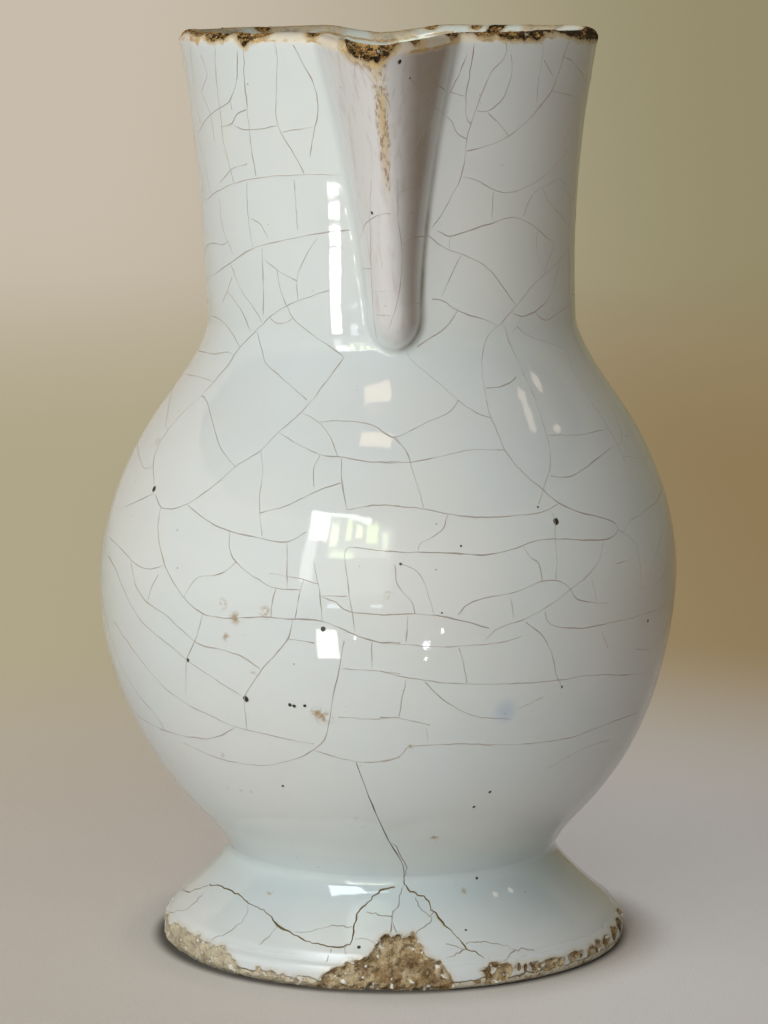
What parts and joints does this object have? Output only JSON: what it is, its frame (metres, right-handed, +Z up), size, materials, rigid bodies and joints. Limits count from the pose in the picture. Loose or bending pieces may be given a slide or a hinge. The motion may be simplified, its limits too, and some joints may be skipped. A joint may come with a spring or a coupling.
{
  "type": "oil jug",
  "caption": "Hand-thrown tin-glazed faience jug with a flared foot, round belly, collar neck, applied beak spout and strap handle, for pouring oil.",
  "frame": {"origin": "on the surface that the jug stands on, under the centre of its outline seen from above", "axes": "+Z up along the jug's axis, -Y towards the pouring beak, +Y towards the handle, +X to the left hand of someone who holds the handle and looks along the beak"},
  "size_m": [0.1436, 0.1603, 0.225],
  "materials": {
    "tin_glaze": "gloss",
    "bare_clay": "matte",
    "crackle_line": "matte"
  },
  "bodies": {
    "root": {"foot": "tin_glaze", "belly": "tin_glaze", "neck": "tin_glaze", "spout": "tin_glaze", "handle": "tin_glaze"}
  },
  "joints": []
}
